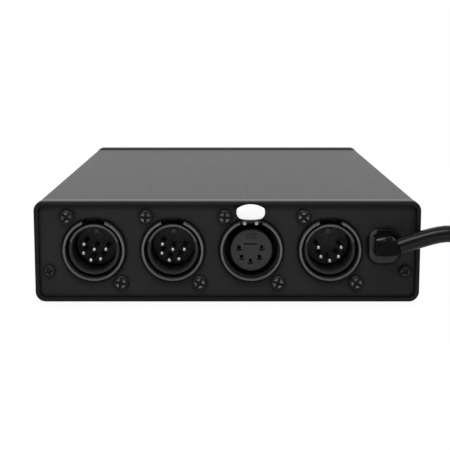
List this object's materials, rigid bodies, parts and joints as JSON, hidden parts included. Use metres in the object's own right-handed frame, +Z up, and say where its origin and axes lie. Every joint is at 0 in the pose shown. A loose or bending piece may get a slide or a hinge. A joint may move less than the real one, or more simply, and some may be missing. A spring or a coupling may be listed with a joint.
{
  "type": "dmx switch pack",
  "caption": "Low black extruded case with round pin and socket connectors, a push latch, a captive mains cord and, on the other end, thumbwheels and lamps.",
  "frame": {"origin": "on the floor, under the middle of the case with its connectors, latch, switch and feet and without its cord", "axes": "+X to the right and +Y into the case, seen from the connector end; +Z up"},
  "size_m": [0.2794, 0.2161, 0.0405],
  "materials": {
    "sleeve_finish": "black anodised, fine satin texture",
    "bezel_plastic": "moulded, fine grain",
    "panel_paint": "black powder coat, fine texture",
    "screw_finish": "black oxide",
    "foot_rubber": "matt",
    "connector_shell": "black chromed die casting, satin",
    "pin_insert": "moulded, with plated contact pins",
    "socket_insert": "moulded dark grey",
    "latch_finish": "pale, smooth",
    "switch_plastic": "moulded",
    "wheel_plastic": "moulded, with pale figures",
    "power_lens": "translucent green",
    "channel_lens": "translucent red",
    "board_laminate": "solder mask",
    "relay_case": "moulded",
    "core_steel": "laminated",
    "winding_tape": "polyester tape over copper wire",
    "capacitor_sleeve": "shrink sleeve",
    "chip_body": "moulded",
    "terminal_block": "moulded",
    "cord_jacket": "smooth PVC",
    "relief_nylon": "smooth nylon",
    "plug_moulding": "smooth PVC",
    "blade_brass": "bright"
  },
  "bodies": {
    "case": {"case_sleeve": "sleeve_finish", "rear_bezel": "bezel_plastic", "front_bezel": "bezel_plastic", "rear_panel": "panel_paint", "front_panel": "panel_paint", "rear_panel_screw_1": "screw_finish", "rear_panel_screw_2": "screw_finish", "front_panel_screw_1": "screw_finish", "front_panel_screw_2": "screw_finish", "connector_screw_1": "screw_finish", "connector_screw_2": "screw_finish", "connector_screw_3": "screw_finish", "connector_screw_4": "screw_finish", "connector_screw_5": "screw_finish", "connector_screw_6": "screw_finish", "connector_screw_7": "screw_finish", "connector_screw_8": "screw_finish", "foot_1": "foot_rubber", "foot_2": "foot_rubber", "foot_3": "foot_rubber", "foot_4": "foot_rubber", "output_1_shell": "connector_shell", "output_2_shell": "connector_shell", "thru_shell": "connector_shell", "input_shell": "connector_shell", "output_1_insert": "pin_insert", "output_2_insert": "pin_insert", "input_insert": "pin_insert", "thru_insert": "socket_insert", "address_switch_body": "switch_plastic", "power_lamp": "power_lens", "channel_lamp_1": "channel_lens", "channel_lamp_2": "channel_lens", "channel_lamp_3": "channel_lens", "channel_lamp_4": "channel_lens", "channel_lamp_5": "channel_lens", "channel_lamp_6": "channel_lens", "main_board": "board_laminate", "relay_1": "relay_case", "relay_2": "relay_case", "relay_3": "relay_case", "relay_4": "relay_case", "relay_5": "relay_case", "relay_6": "relay_case", "transformer_core": "core_steel", "transformer_winding": "winding_tape", "filter_capacitor": "capacitor_sleeve", "controller_chip": "chip_body", "fuse_block": "terminal_block", "mains_tail": "cord_jacket", "cord_lead": "cord_jacket", "cord_coil": "cord_jacket", "strain_relief": "relief_nylon", "plug_body": "plug_moulding", "plug_blades": "blade_brass"},
    "latch": {"thru_latch": "latch_finish"},
    "wheel_1": {"address_wheel_1": "wheel_plastic"},
    "wheel_2": {"address_wheel_2": "wheel_plastic"},
    "wheel_3": {"address_wheel_3": "wheel_plastic"}
  },
  "joints": [
    {"name": "thru_latch_press", "type": "hinge", "parent": "case", "child": "latch", "pos_m": [0.0089, -0.0984, 0.03225], "axis": [-1, 0, 0], "range_deg": [0, 10], "stiffness_Nm_per_rad": 0.02, "springref_deg": -5.73},
    {"name": "address_wheel_1_turn", "type": "hinge", "parent": "case", "child": "wheel_1", "pos_m": [0.046, 0.0941, 0.0215], "axis": [1, 0, 0], "continuous": true},
    {"name": "address_wheel_2_turn", "type": "hinge", "parent": "case", "child": "wheel_2", "pos_m": [0.038, 0.0941, 0.0215], "axis": [1, 0, 0], "continuous": true},
    {"name": "address_wheel_3_turn", "type": "hinge", "parent": "case", "child": "wheel_3", "pos_m": [0.03, 0.0941, 0.0215], "axis": [1, 0, 0], "continuous": true}
  ]
}
